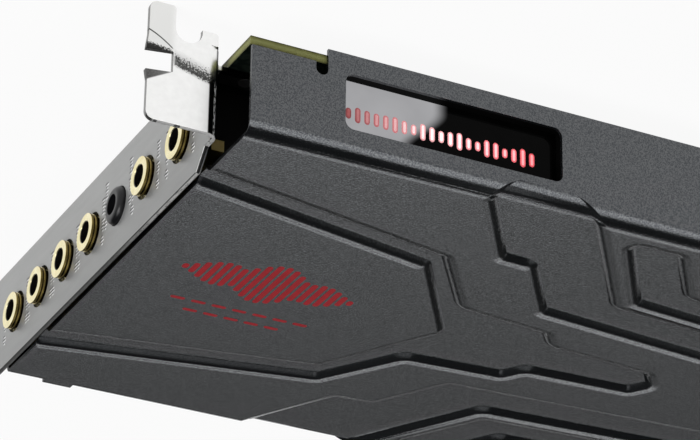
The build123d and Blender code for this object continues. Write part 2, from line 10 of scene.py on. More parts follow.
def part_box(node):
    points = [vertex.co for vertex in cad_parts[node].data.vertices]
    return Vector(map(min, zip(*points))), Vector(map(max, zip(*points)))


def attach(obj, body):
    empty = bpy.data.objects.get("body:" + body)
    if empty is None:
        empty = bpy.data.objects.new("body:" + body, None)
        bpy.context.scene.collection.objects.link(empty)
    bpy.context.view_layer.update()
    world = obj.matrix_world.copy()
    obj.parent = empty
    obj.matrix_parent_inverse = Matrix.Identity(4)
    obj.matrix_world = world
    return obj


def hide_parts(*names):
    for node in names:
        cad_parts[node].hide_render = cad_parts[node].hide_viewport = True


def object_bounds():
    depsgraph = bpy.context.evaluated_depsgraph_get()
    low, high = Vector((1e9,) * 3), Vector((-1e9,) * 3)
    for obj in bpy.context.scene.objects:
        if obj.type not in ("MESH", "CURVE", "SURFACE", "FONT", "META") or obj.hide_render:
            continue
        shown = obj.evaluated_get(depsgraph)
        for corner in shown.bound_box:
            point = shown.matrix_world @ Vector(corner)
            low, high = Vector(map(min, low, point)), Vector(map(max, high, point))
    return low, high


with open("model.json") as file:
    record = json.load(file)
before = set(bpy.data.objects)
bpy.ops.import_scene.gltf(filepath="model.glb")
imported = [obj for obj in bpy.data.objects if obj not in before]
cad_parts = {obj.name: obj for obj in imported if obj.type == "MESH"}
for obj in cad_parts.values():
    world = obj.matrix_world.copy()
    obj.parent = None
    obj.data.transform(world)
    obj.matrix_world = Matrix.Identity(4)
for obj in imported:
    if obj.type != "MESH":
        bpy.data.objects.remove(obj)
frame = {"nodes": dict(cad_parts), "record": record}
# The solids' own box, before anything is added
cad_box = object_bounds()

mm = 0.001
nodes = frame["nodes"]

# Camera, fitted to the photograph's 700 by 440 frame
camera_eye = Vector((-167.08, 392.58, 252.20)) * mm
camera_aim = Vector((26.61, 2.93, 26.91)) * mm
camera_roll = math.radians(-179.19)
camera_lens = 167.31
camera_sensor = 36.0

# Places that the marks and finishes are measured from
cover_low, cover_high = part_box("shield_cover")
bracket_low, bracket_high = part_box("slot_bracket")
board_low, board_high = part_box("circuit_board")
lens_low, lens_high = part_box("window_lens")
bushing_low, bushing_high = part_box("socket_1_bushing")
bushing_width = bushing_high.y - bushing_low.y

# How near points are joined, how near counts as level, over how far one finish turns into another,
# and how far outside a solid its rays start
joined = 0.001 * mm
slack = 0.01 * mm
finish_change = 0.3 * mm
ray_clearance = 2.0 * mm

# The red sound wave on the cover's face
wave_start = 10.0 * mm
wave_middle = 45.5 * mm
wave_pitch = 1.55 * mm
wave_bar_width = 1.05 * mm
wave_bars = 20
wave_shortest = 1.6 * mm
wave_tallest = 14.5 * mm
wave_rule_drops = (11.2 * mm, 14.6 * mm)
wave_rule_width = 0.75 * mm
wave_dash = 2.6 * mm
wave_dash_gap = 1.1 * mm
wave_dash_counts = (7, 5)
paint_thickness = 0.03 * mm
mark_taper = 0.96

# The lit level meter behind the window
meter_margin = 1.3 * mm
meter_pitch = 1.6 * mm
meter_bar_width = 0.95 * mm
meter_bars = 21
meter_shortest = 1.0 * mm
meter_tallest = 3.3 * mm
meter_middle = 5.6 * mm
meter_thickness = 0.05 * mm
meter_core_thickness = 1.5 * meter_thickness
meter_rim_width = 0.25 * mm

# The small ticks etched into the bracket beside each socket, with pale painted highlights offset beside
# them
tick_pitch = 0.62 * mm
tick_width = 0.30 * mm
tick_lengths = (1.3 * mm, 0.7 * mm, 1.1 * mm, 0.6 * mm, 1.2 * mm, 0.9 * mm)
tick_count = 14
tick_gaps = (5, 10)
tick_sides = (-5.0 * mm, 4.9 * mm)
tick_depth = 0.02 * mm
tick_highlight_shift = 0.22 * mm
tick_end_steps = 2

# The cover's pressed walls, from the raised plates down to the sunk floor, and how far up they face at
# their steepest and gentlest
press_depth = 1.0 * mm
press_steps = 10
press_curve = 2.0
press_margin = 2.4 * mm
steepest = 0.3
gentlest = 0.97

# The lips of the raised plates: how wide they are, how far they fall at the wall and in their middle,
# and how far from the cover's end beside the bracket each of the two starts to fall
lip_width = 0.8 * mm
lip_drop = 0.12 * mm
lip_middle_drop = lip_drop / 4
lip_start = lip_width / 4
lip_middle_start = 0.75 * lip_width

# The bend between the cover's face and its upper wall, and the soft roll that leads into it
bend_radius = 1.6 * mm
roll_width = 1.4 * mm
roll_slope = 0.28
roll_steps = 8
roll_facing = 0.05

# The bracket's plate: where painted shade darkens its face towards the cover and where its sheared side
# grows darker further down, and where its lugs start, painted nearly black as shade
plate_shade_span = (4.0 * mm, 20.0 * mm)
side_fade = (-13.0 * mm, -42.0 * mm)
lug_start = 1.2 * mm

# The bracket's tab: where it starts above the plate, its slot, and where its bend is painted black as
# shade
tab_foot = -1.6 * mm
tab_outer = bracket_low.x
slot_end = -2.45 * mm
slot_low = 4.5 * mm
slot_high = 8.0 * mm
slot_blur = 0.8 * mm
bend_fade = (slot_high - 0.6 * mm, slot_high + 0.4 * mm)

# The crease beside the slot, darkened by painted shade and scuffs, and how these start and end along and
# across it
crease_height = 6.1 * mm
crease_rise = 0.28
crease_mark_start = (slot_end - 0.1 * mm, slot_end + 0.5 * mm)
crease_mark_rise = (-2.7 * mm, 0.1 * mm)
crease_mark_fall = (1.1 * mm, 0.2 * mm)

# The lips beside the slot: the painted dark reflection on their sides, wide at the tab's edge, and the
# upper one's bowed fold line of painted shade
lip_edge = (-0.1 * mm, 0.0)
upper_lip_wide = 1.05 * mm
upper_lip_narrow = 0.10 * mm
upper_lip_ragged = 1.4 * mm
upper_lip_blur = (0.15 * mm, -0.15 * mm)
lower_lip_wide = 2.3 * mm
lower_lip_blur = (0.15 * mm, -0.20 * mm)
fold_depth = 2.9 * mm
fold_slope = 1.6 * mm
fold_bow = 0.9 * mm
fold_line = (0.17 * mm, 0.07 * mm)

# Radii at which painted shade darkens a bushing's grooves and bore
groove_edge = (3.12 * mm, 3.0 * mm)
bore_edge = (1.92 * mm, 1.84 * mm)

# The painted reflection on the window's lens, a pale glowing patch which ends along a slanting edge
reflection_end = (18.6 * mm, 15.6 * mm)
reflection_slant = 6.5 * mm
reflection_slant_span = (1.5 * mm, 9.5 * mm)

# The solder joints round the pins
solder_radius = 1.1 * mm
solder_share = 0.85
solder_sides = 14
solder_profile = ((1.0, 0.0), (0.95, 0.10), (0.66, 0.38), (0.46, 0.72), (0.34, 1.0))

# How bright the room is behind and in front, from the horizon at 0 to straight above at 1
back_levels = ((0.17, 0.03), (0.23, 0.27), (0.34, 0.27), (0.38, 2.1), (0.44, 2.1),
               (0.50, 0.12), (0.58, 0.02))
front_levels = ((0.0, 1.0), (0.06, 2.1), (0.30, 2.1), (0.44, 0.12), (0.52, 0.02))
back_to_front = (-0.2, 0.2)
horizon_band = (0.08, 0.05)

# The stretch from left to right that has those levels, and the levels beside it
stretch_start = (0.14, 0.26)
stretch_end = (0.70, 0.56)
back_beside = 0.04
front_beside = 0.45

# The key lamp, in metres and watts, and the floor
key_place = (-0.90, 0.30, 0.72)
key_size = 0.7
key_power = 9.3
floor_reach = 30.0
floor_glow = 0.93

# Rounding of the sheared and turned edges, and the angles that tell flat, sharp and square ones apart
plate_edge = 0.24 * mm
sheet_edge = 0.10 * mm
turned_edge = 0.06 * mm
long_edge = 2.5 * mm
flat_angle = math.radians(0.2)
sharp_angle = math.radians(38.0)
square_angle = math.radians(60.0)


def grey(level):
    """A colour with no hue."""
    return (level, level, level)


class Nodes:
    """A tree of shader nodes, with its textures placed by the object's own metres."""

    def __init__(self, tree):
        self.tree = tree
        self.where = tree.nodes.new("ShaderNodeTexCoord")

    def feed(self, socket, value):
        """Links a socket to another one, or sets its value."""
        if isinstance(value, bpy.types.NodeSocket):
            self.tree.links.new(value, socket)
        else:
            socket.default_value = value

    def add(self, kind, inputs, **settings):
        """A new node with its settings and inputs."""
        node = self.tree.nodes.new(kind)
        for setting, value in settings.items():
            setattr(node, setting, value)
        for socket, value in inputs.items():
            self.feed(node.inputs[socket], value)
        return node

    def stretched(self, scale):
        """The object's coordinates, scaled along each axis."""
        inputs = {"Vector": self.where.outputs["Object"], "Scale": scale}
        return self.add("ShaderNodeMapping", inputs).outputs["Vector"]

    def noise(self, scale, detail=2.0, vector=None):
        """Cloudy noise, with so many features a metre."""
        place = vector or self.where.outputs["Object"]
        inputs = {"Vector": place, "Scale": scale, "Detail": detail}
        return self.add("ShaderNodeTexNoise", inputs).outputs["Fac"]

    def cells(self, scale):
        """The distance to the nearest border in a pattern of cells."""
        inputs = {"Vector": self.where.outputs["Object"], "Scale": scale}
        node = self.add("ShaderNodeTexVoronoi", inputs, feature="DISTANCE_TO_EDGE")
        return node.outputs["Distance"]

    def axis(self, letter, source="Object"):
        """One coordinate, or one part of the surface's direction with source Normal."""
        inputs = {"Vector": self.where.outputs[source]}
        return self.add("ShaderNodeSeparateXYZ", inputs).outputs[letter]

    def from_axis(self, width):
        """The distance from the X axis of a round piece as wide as this."""
        inputs = {"Vector": self.where.outputs["Generated"], "Scale": (0.0, width, width),
                  "Location": (0.0, -width / 2, -width / 2)}
        place = self.add("ShaderNodeMapping", inputs).outputs["Vector"]
        node = self.add("ShaderNodeVectorMath", {"Vector": place}, operation="LENGTH")
        return node.outputs["Value"]

    def facing(self, letter):
        """One part of the flat face's own direction, not smoothed over its neighbours."""
        direction = self.add("ShaderNodeNewGeometry", {}).outputs["True Normal"]
        return self.add("ShaderNodeSeparateXYZ", {"Vector": direction}).outputs[letter]

    def size(self, value):
        """A value without its sign."""
        return self.sums("ABSOLUTE", value, 0.0)

    def sums(self, operation, first, second):
        """Arithmetic on two values."""
        node = self.add("ShaderNodeMath", {}, operation=operation)
        self.feed(node.inputs[0], first)
        self.feed(node.inputs[1], second)
        return node.outputs[0]

    def both(self, *masks):
        """Where all of the masks are."""
        product = masks[0]
        for mask in masks[1:]:
            product = self.sums("MULTIPLY", product, mask)
        return product

    def either(self, first, second):
        """Where one mask or the other is."""
        return self.sums("MAXIMUM", first, second)

    def outside(self, mask):
        """Where a mask isn't."""
        return self.sums("SUBTRACT", 1.0, mask)

    def linear(self, value, slope, start):
        """A straight line through a value."""
        node = self.add("ShaderNodeMath", {}, operation="MULTIPLY_ADD")
        for socket, number in zip(node.inputs, (value, slope, start)):
            self.feed(socket, number)
        return node.outputs[0]

    def step(self, value, start, end):
        """A smooth step from 0 at start to 1 at end."""
        inputs = {"Value": value, "From Min": start, "From Max": end}
        node = self.add("ShaderNodeMapRange", inputs, interpolation_type="SMOOTHSTEP")
        return node.outputs["Result"]

    def spread(self, value, low, high):
        """A value from 0 to 1 spread between low and high."""
        inputs = {"Value": value, "To Min": low, "To Max": high}
        return self.add("ShaderNodeMapRange", inputs).outputs["Result"]

    def ramp(self, value, stops):
        """Colours along a value, from pairs of place and colour."""
        node = self.add("ShaderNodeValToRGB", {"Fac": value})
        elements = node.color_ramp.elements
        while len(elements) < len(stops):
            elements.new(0.5)
        for element, (place, colour) in zip(elements, stops):
            element.position = place
            element.color = (*colour, 1.0)
        return node.outputs["Color"]

    def mix(self, factor, first, second):
        """One colour going over into another."""
        node = self.add("ShaderNodeMix", {"Factor": factor}, data_type="RGBA")
        colours = [socket for socket in node.inputs if socket.type == "RGBA"]
        for socket, value in zip(colours, (first, second)):
            self.feed(socket, value if isinstance(value, bpy.types.NodeSocket) else (*value, 1.0))
        return [socket for socket in node.outputs if socket.type == "RGBA"][0]


class Look(Nodes):
    """A procedural material."""

    def __init__(self, name, constants):
        self.material = bpy.data.materials.new(name)
        self.material.use_nodes = True
        super().__init__(self.material.node_tree)
        self.shader = self.tree.nodes["Principled BSDF"]
        for socket, value in constants.items():
            self.shader.inputs[socket].default_value = value

    def set(self, socket, value):
        """Links one of the shader's sockets."""
        self.feed(self.shader.inputs[socket], value)

    def paint(self, colour, roughness=None):
        """Links the shader's colour and roughness."""
        self.set("Base Color", colour)
        if roughness is not None:
            self.set("Roughness", roughness)

    def bump(self, height, strength, distance):
        """Fine relief on the surface."""
        inputs = {"Height": height, "Strength": strength, "Distance": distance}
        self.set("Normal", self.add("ShaderNodeBump", inputs).outputs["Normal"])


def cover_paint():
    """Satin black powder coat: a dark film whose fine grains mirror more or less."""
    look = Look("cover_paint", {"IOR": 2.1})
    grains = look.noise(4200.0, 1.0)
    cloud = look.noise(28.0, 4.0)
    film = look.ramp(cloud, [(0.3, (0.0045, 0.0050, 0.0058)), (0.7, (0.0065, 0.0070, 0.0080))])
    look.paint(film, look.spread(grains, 0.10, 0.19))
    mirror = look.ramp(grains, [(0.36, (0.45, 0.48, 0.52)), (0.62, (0.94, 0.97, 1.0))])
    look.set("Specular Tint", mirror)
    look.bump(grains, 0.5, 0.05 * mm)
    return look.material


def bracket_nickel():
    """Nickel on folded steel: a dull plate, a bright tab with painted black shade and a painted
    highlight along its bend, and lugs painted nearly black as shade, each with its own marks.
    """
    look = Look("bracket_nickel", {})
    specks = look.noise(5200.0, 2.0)
    tab = look.step(look.axis("Y"), tab_foot, tab_foot + finish_change)
    grain = look.noise(900.0, 3.0, look.stretched((1.0, 0.12, 1.0)))
    bend, gleam = tab_bend(look)
    # Painted black shade in the bend, and a painted highlight along it
    bright = look.mix(bend, tab_finish(look, grain, specks), grey(0.008))
    bright = look.mix(gleam, bright, (0.95, 0.95, 0.94))
    metal = look.mix(tab, plate_finish(look, grain, specks), bright)
    # Painted shade: the lugs behind the plate are painted nearly black, as the shade under the cover
    lug_foot = outer_face() + lug_start
    lugs = look.step(look.axis("X"), lug_foot, lug_foot + finish_change)
    look.paint(look.mix(lugs, metal, grey(0.008)), look.spread(specks, 0.26, 0.36))
    dull = look.sums("SUBTRACT", look.spread(tab, 0.25, 1.0), gleam)
    look.set("Metallic", look.either(dull, look.both(plate_turn(look), look.outside(tab))))
    look.bump(grain, 0.05, 0.02 * mm)
    return look.material


def plate_side(look):
    """Where the plate's sheared side is."""
    return look.step(look.size(look.axis("X", "Normal")), 0.40, 0.20)


def plate_turn(look):
    """Where the plate's face turns over into its sheared side."""
    turning = look.step(look.size(look.axis("X", "Normal")), 0.99, 0.94)
    return look.both(turning, look.outside(plate_side(look)))


def plate_finish(look, grain, specks):
    """The plate: dull and slightly streaked, with painted shade towards the cover and on its rounded
    edge, and a sheared side that grows darker further down and carries wear specks; at the neck the side
    is painted black shade and the rounded edge a painted highlight.
    """
    # Painted shade: the face grows darker towards the cover
    fall = look.step(look.axis("Z"), *plate_shade_span)
    pale = look.ramp(grain, [(0.25, (0.288, 0.291, 0.288)), (0.75, (0.326, 0.329, 0.326))])
    deep = look.ramp(grain, [(0.25, (0.226, 0.229, 0.226)), (0.75, (0.258, 0.261, 0.258))])
    flat = look.mix(fall, pale, deep)
    streaks = look.step(look.noise(1500.0, 2.0, look.stretched((1.0, 0.3, 1.0))), 0.36, 0.64)
    # The sheared side grows darker further down, with dark wear specks and streaks on it
    low_down = look.step(look.axis("Y"), *side_fade)
    side_tone = look.mix(low_down, (0.54, 0.54, 0.53), (0.085, 0.085, 0.084))
    side_tone = look.mix(look.both(streaks, look.step(specks, 0.40, 0.60)), side_tone, (0.05, 0.05, 0.048))
    neck = look.step(look.facing("Y"), 0.20, 0.40)
    # Painted shade: the sheared side at the neck is painted black
    side_colour = look.mix(neck, side_tone, grey(0.012))
    # Painted shade on the rounded edge, nearly black, and a painted highlight where it turns at the neck
    turn_colour = look.mix(neck, grey(0.01), (0.95, 0.95, 0.94))
    return look.mix(plate_side(look), look.mix(plate_turn(look), flat, turn_colour), side_colour)


def tab_finish(look, grain, specks):
    """The tab: bright lobes with a crease darkened by painted shade and scuffs, bent lips with painted
    dark reflection on their sides, and sheared edges.
    """
    beside_slot = look.both(look.step(look.axis("X"), slot_end + slot_blur, slot_end - slot_blur),
                            look.step(look.axis("Z"), slot_high, slot_low))
    pale = look.ramp(grain, [(0.25, (0.90, 0.90, 0.89)), (0.75, (0.97, 0.97, 0.96))])
    metal = look.mix(beside_slot, pale, (0.80, 0.80, 0.785))
    # Painted shade along the crease, with scuff speckles in it
    metal = look.mix(crease_shade_and_scuffs(look, specks), metal, (0.07, 0.07, 0.068))
    # Painted dark reflection on the bent lips' sides
    metal = look.mix(slot_lip_shade(look, specks), metal, (0.035, 0.035, 0.033))
    return look.mix(sheared_tab(look, specks), metal, (0.06, 0.06, 0.058))


def crease_shade_and_scuffs(look, specks):
    """Dark scuff speckles and painted shade along the crease, thinning out slowly above it and quickly
    below.
    """
    line = look.linear(look.axis("X"), crease_rise, crease_height - crease_rise * slot_end)
    past = look.sums("SUBTRACT", look.axis("Z"), line)
    density = look.both(look.step(past, *crease_mark_rise), look.step(past, *crease_mark_fall))
    inner = look.step(look.axis("X"), *crease_mark_start)
    limit = look.linear(density, -0.40, 0.76)
    dots = look.step(look.sums("SUBTRACT", specks, limit), -0.03, 0.06)
    # The haze is painted shade along the crease
    haze = look.linear(density, 0.60, 0.0)
    return look.both(look.either(dots, haze), inner, look.step(density, 0.02, 0.10))


def slot_lip_shade(look, specks):
    """Painted dark reflection on the sides of the two lips that are bent down beside the slot, and a
    fold line of painted shade.
    """
    length = slot_end - tab_outer
    along = look.linear(look.axis("X"), 1.0 / length, -tab_outer / length)
    beside = look.step(along, 1.0, 0.92)
    above = look.sums("SUBTRACT", slot_low, look.axis("Z"))
    upper = look.either(upper_lip(look, specks, along, above), fold_mark(look, along, above))
    return look.both(beside, look.either(upper, lower_lip(look, specks, along)))


def upper_lip(look, specks, along, above):
    """The painted dark reflection on the upper lip's side, a ragged strip that narrows along the slot.
    """
    strip = look.linear(along, upper_lip_narrow - upper_lip_wide, upper_lip_wide)
    ragged = look.linear(specks, upper_lip_ragged, -upper_lip_ragged / 2)
    past = look.sums("SUBTRACT", look.sums("ADD", above, ragged), strip)
    return look.both(look.step(past, *upper_lip_blur), look.step(above, *lip_edge))


def fold_mark(look, along, above):
    """A line of painted shade where the upper lip folds, bowed from the slot's end to the tab's edge."""
    bow = look.both(along, look.linear(along, -fold_bow, -fold_slope))
    past = look.sums("SUBTRACT", above, look.sums("ADD", bow, fold_depth))
    return look.step(look.size(past), *fold_line)


def lower_lip(look, specks, along):
    """The painted dark reflection on the lower lip's side, a triangle that is widest at the tab's edge.
    """
    below = look.sums("SUBTRACT", look.axis("Z"), slot_high)
    reach = look.linear(along, -lower_lip_wide, lower_lip_wide)
    side = look.step(look.sums("SUBTRACT", below, reach), *lower_lip_blur)
    side = look.both(side, look.step(below, *lip_edge), look.spread(along, 0.97, 0.84))
    return look.both(side, look.spread(specks, 0.86, 1.06))


def sheared_tab(look, specks):
    """The tab's sheared edges: grey outside, broken dark dashes below, black round the corners."""
    outer = look.step(look.facing("X"), -0.55, -0.75)
    below = look.step(look.facing("Z"), 0.55, 0.75)
    upright = look.step(look.size(look.facing("Y")), 0.75, 0.55)
    corner = look.both(upright, look.outside(outer), look.outside(below))
    dashes = look.step(look.noise(900.0, 2.0, look.stretched((1.0, 0.3, 0.3))), 0.53, 0.59)
    outer_side = look.both(outer, look.spread(specks, 0.55, 0.95))
    lower_side = look.both(below, look.either(dashes, look.spread(specks, 0.30, 0.75)))
    return look.either(look.either(outer_side, lower_side), corner)


def tab_bend(look):
    """The bend between the tab and the plate: painted black shade below the crease, with a broken
    painted highlight along it.
    """
    turn = look.axis("X", "Normal")
    lower = look.step(look.axis("Z"), *bend_fade)
    upright = look.step(look.size(look.facing("Z")), 0.6, 0.4)
    black = look.either(look.both(look.step(turn, 0.02, 0.10), lower), look.step(turn, 0.55, 0.72))
    spots = look.step(look.noise(3600.0, 2.0, look.stretched((1.0, 1.0, 0.5))), 0.42, 0.52)
    gleam = look.both(look.step(turn, 0.46, 0.52), look.step(turn, 0.72, 0.66), spots, lower, upright)
    return look.both(black, upright), gleam


def facing_out(look):
    """Where a piece faces out through the bracket."""
    return look.step(look.axis("X", "Normal"), -0.5, -0.8)


def socket_gold():
    """Gold on a turned bushing: a pale front and browner sides, painted as lit and shaded copies of the
    same gold, with painted shade in the grooves and the bore.
    """
    look = Look("socket_gold", {})
    tarnish = look.noise(500.0, 3.0)
    out = look.from_axis(bushing_width)
    front = facing_out(look)
    pale = look.ramp(tarnish, [(0.3, (0.84, 0.74, 0.40)), (0.7, (0.94, 0.86, 0.55))])
    side = look.ramp(tarnish, [(0.3, (0.26, 0.19, 0.055)), (0.7, (0.40, 0.30, 0.10))])
    # Painted shade in the grooves
    groove = look.step(out, *groove_edge)
    side = look.mix(groove, side, (0.06, 0.045, 0.015))
    # Painted light: the pale front and browner sides are lit and shaded copies of the same gold
    gold = look.mix(front, side, pale)
    # Painted shade in the bore, nearly black and not metallic
    bore = look.step(out, *bore_edge)
    look.paint(look.mix(bore, gold, (0.006, 0.005, 0.004)), look.spread(tarnish, 0.18, 0.30))
    look.set("Metallic", look.outside(bore))
    rings = look.add("ShaderNodeTexWave", {"Vector": out, "Scale": 5200.0}, wave_type="BANDS")
    look.bump(rings.outputs["Fac"], 0.03, 0.01 * mm)
    return look.material


def plated(name, dark, pale, low, high):
    """Plain gold plate with a little tarnish, with painted shade, nearly black, on the side that faces
    the bracket.
    """
    look = Look(name, {"Metallic": 1.0})
    tarnish = look.noise(500.0, 3.0)
    front = facing_out(look)
    plate = look.ramp(tarnish, [(0.3, dark), (0.7, pale)])
    # Painted shade: the side that faces the bracket is nearly black
    look.paint(look.mix(front, plate, (0.02, 0.016, 0.008)), look.spread(tarnish, low, high))
    look.bump(tarnish, 0.03, 0.01 * mm)
    return look.material


def moulded(name, dark, pale, low, high, mirror=0.5):
    """A moulded or fired piece with a fine, slightly uneven skin that mirrors more or less."""
    look = Look(name, {"Specular IOR Level": mirror})
    skin = look.noise(2400.0, 3.0)
    patches = look.noise(140.0, 2.0)
    look.paint(look.ramp(patches, [(0.3, dark), (0.7, pale)]), look.spread(skin, low, high))
    look.bump(skin, 0.15, 0.02 * mm)
    return look.material


def drawn_metal(name, dark, pale, low, high):
    """Plain plated or drawn metal with a faint grain."""
    look = Look(name, {"Metallic": 1.0})
    grain = look.noise(1200.0, 3.0, look.stretched((1.0, 1.0, 0.1)))
    look.paint(look.ramp(grain, [(0.25, dark), (0.75, pale)]), look.spread(grain, low, high))
    look.bump(grain, 0.06, 0.02 * mm)
    return look.material


def board_laminate():
    """Glass laminate: raw yellow-green edges, and solder mask with tracks on both sides."""
    look = Look("board_laminate", {"Specular IOR Level": 0.08})
    across = look.sums("SUBTRACT", look.axis("Z"), board_low.z)
    share = look.sums("DIVIDE", across, board_high.z - board_low.z)
    weave = look.noise(900.0, 3.0, look.stretched((1.0, 1.0, 0.5)))
    ply = look.sums("ADD", share, look.spread(weave, -0.12, 0.12))
    raw = look.ramp(ply, [
        (0.02, (0.04, 0.04, 0.014)), (0.16, (0.14, 0.14, 0.045)), (0.45, (0.24, 0.25, 0.095)),
        (0.80, (0.19, 0.19, 0.065)), (0.98, (0.06, 0.06, 0.02))])
    tracks = look.step(look.cells(420.0), 0.10, 0.16)
    mask = look.mix(tracks, (0.003, 0.005, 0.004), (0.007, 0.010, 0.008))
    flat = look.step(look.size(look.axis("Z", "Normal")), 0.5, 0.7)
    look.paint(look.mix(flat, raw, mask), look.spread(weave, 0.34, 0.50))
    look.bump(look.sums("MULTIPLY", tracks, flat), 0.3, 0.03 * mm)
    return look.material


def lens_acrylic():
    """Polished smoked acrylic, with a painted reflection: a pale patch that glows and fades out along a
    slanting edge.
    """
    look = Look("lens_acrylic", {"Specular IOR Level": 0.03, "Emission Strength": 1.0})
    along = look.sums("SUBTRACT", look.axis("X"), lens_low.x)
    across = look.sums("SUBTRACT", look.axis("Z"), lens_low.z)
    slant = look.sums("MULTIPLY", look.step(across, *reflection_slant_span), reflection_slant)
    reach = look.sums("ADD", along, slant)
    haze = look.noise(160.0, 2.0)
    # Painted reflection: a pale patch that glows, fading out along a slanting edge
    lit = look.step(reach, *reflection_end)
    glow = look.ramp(haze, [(0.3, (0.33, 0.33, 0.342)), (0.7, (0.37, 0.37, 0.382))])
    smoke = look.ramp(haze, [(0.3, grey(0.0008)), (0.7, (0.0016, 0.0015, 0.0015))])
    look.paint(look.mix(lit, smoke, grey(0.02)), look.spread(haze, 0.05, 0.09))
    look.set("Emission Color", look.mix(lit, grey(0.0), glow))
    return look.material


def signal_red():
    """Screen-printed red, a little thin and matt over the powder coat."""
    look = Look("signal_red", {"Specular IOR Level": 0.1})
    ink = look.noise(1500.0, 3.0)
    look.paint(look.ramp(ink, [(0.3, (0.35, 0.010, 0.017)), (0.7, (0.43, 0.016, 0.025))]),
               look.spread(ink, 0.36, 0.50))
    look.bump(ink, 0.2, 0.02 * mm)
    return look.material


def meter_light(name, strength, stops):
    """Light through coloured film, which changes along the window."""
    look = Look(name, {"Roughness": 0.4, "Emission Strength": strength})
    along = look.sums("SUBTRACT", look.axis("X"), lens_low.x)
    share = look.sums("DIVIDE", along, lens_high.x - lens_low.x)
    grain = look.spread(look.noise(900.0, 2.0), -0.04, 0.04)
    colour = look.ramp(look.sums("ADD", share, grain), stops)
    look.paint(colour)
    look.set("Emission Color", colour)
    return look.material


def meter_rim():
    """The bars' outlines: dull red over the painted reflection, and bright red on the dark."""
    return meter_light("meter_rim", 0.55, [
        (0.03, (0.20, 0.030, 0.032)), (0.24, (0.50, 0.15, 0.16)), (0.46, (0.85, 0.42, 0.43)),
        (0.68, (0.80, 0.16, 0.18)), (0.95, (0.66, 0.05, 0.07))])


def meter_core():
    """The bars' middles: greyish pink over the painted reflection, and nearly white where they are
    brightest.
    """
    return meter_light("meter_core", 0.75, [
        (0.03, (0.26, 0.055, 0.055)), (0.24, (0.56, 0.30, 0.31)), (0.46, (1.0, 0.88, 0.88)),
        (0.68, (0.95, 0.52, 0.54)), (0.95, (0.90, 0.20, 0.22))])


def etched(name, dark, pale):
    """Metal burnt dark where it is marked, and pale for the painted highlights beside the marks, broken
    up by its grain.
    """
    look = Look(name, {"Metallic": 0.6})
    grain = look.noise(3000.0, 2.0)
    look.paint(look.ramp(grain, [(0.35, dark), (0.65, pale)]), look.spread(grain, 0.4, 0.6))
    return look.material


def solder():
    """Bright tin solder, softly rippled."""
    look = Look("solder", {"Metallic": 1.0})
    ripple = look.noise(1600.0, 2.0)
    look.paint(look.ramp(ripple, [(0.3, (0.55, 0.55, 0.54)), (0.7, (0.72, 0.72, 0.71))]),
               look.spread(ripple, 0.2, 0.35))
    look.bump(ripple, 0.1, 0.03 * mm)
    return look.material


def slot_looks():
    """The finish of each material slot in the record."""
    return {
        "cover_paint": cover_paint(),
        "bracket_nickel": bracket_nickel(),
        "socket_gold": socket_gold(),
        "can_gold": plated("can_gold", (0.58, 0.43, 0.14), (0.76, 0.60, 0.25), 0.28, 0.42),
        "contact_gold": plated("contact_gold", (0.78, 0.56, 0.20), (0.90, 0.70, 0.30), 0.20, 0.32),
        "socket_plastic": moulded("socket_plastic", grey(0.004), grey(0.007), 0.45, 0.60, 0.1),
        "dark_plastic": moulded("dark_plastic", (0.004, 0.004, 0.005), (0.008, 0.008, 0.009),
                                0.26, 0.36, 0.3),
        "frame_plastic": moulded("frame_plastic", grey(0.001), grey(0.002), 0.5, 0.65, 0.05),
        "chip_epoxy": moulded("chip_epoxy", grey(0.022), (0.034, 0.034, 0.035), 0.50, 0.65),
        "relay_plastic": moulded("relay_plastic", (0.66, 0.66, 0.61), (0.76, 0.76, 0.71), 0.40, 0.52),
        "film_plastic": moulded("film_plastic", (0.36, 0.025, 0.025), (0.46, 0.04, 0.035), 0.22, 0.34),
        "ceramic": moulded("ceramic", (0.34, 0.25, 0.17), (0.46, 0.35, 0.25), 0.40, 0.55),
        "lamp": moulded("lamp", (0.80, 0.72, 0.52), (0.88, 0.82, 0.64), 0.20, 0.30),
        "coil_ferrite": moulded("coil_ferrite", (0.05, 0.05, 0.053), (0.085, 0.085, 0.09), 0.55, 0.7),
        "guide_acrylic": moulded("guide_acrylic", grey(0.78), grey(0.86), 0.35, 0.5),
        "pin_tin": drawn_metal("pin_tin", (0.62, 0.62, 0.60), (0.74, 0.74, 0.72), 0.25, 0.40),
        "screw_steel": drawn_metal("screw_steel", grey(0.42), grey(0.56), 0.25, 0.40),
        "post_steel": drawn_metal("post_steel", (0.50, 0.50, 0.49), (0.62, 0.62, 0.61), 0.25, 0.40),
        "capacitor_can": drawn_metal("capacitor_can", grey(0.58), grey(0.72), 0.25, 0.40),
        "crystal_can": drawn_metal("crystal_can", grey(0.62), grey(0.76), 0.20, 0.35),
        "board_laminate": board_laminate(),
        "lens_acrylic": lens_acrylic(),
    }


def dress_nodes(looks):
    """Gives each solid the finish that the record names for it."""
    for part in frame["record"]["subparts"]:
        materials = nodes[part["node"]].data.materials
        materials.clear()
        materials.append(looks[part["material_slot"]])


def clean_copy(name):
    """A solid's shape with its split corners joined and its flat faces made whole."""
    shape = bmesh.new()
    shape.from_mesh(nodes[name].data)
    bmesh.ops.remove_doubles(shape, verts=shape.verts, dist=joined)
    bmesh.ops.dissolve_limit(shape, angle_limit=flat_angle, verts=shape.verts, edges=shape.edges)
    return shape


def finished(name, shape):
    """Turns a reworked copy into a smooth piece that stands for its solid."""
    for edge in shape.edges:
        edge.smooth = not edge.is_manifold or edge.calc_face_angle() < sharp_angle
    for face in shape.faces:
        face.smooth = True
    piece = new_piece(f"rounded_{name}", shape, nodes[name].data.materials[0])
    shade = piece.modifiers.new("shade", "WEIGHTED_NORMAL")
    shade.keep_sharp = True
    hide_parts(name)


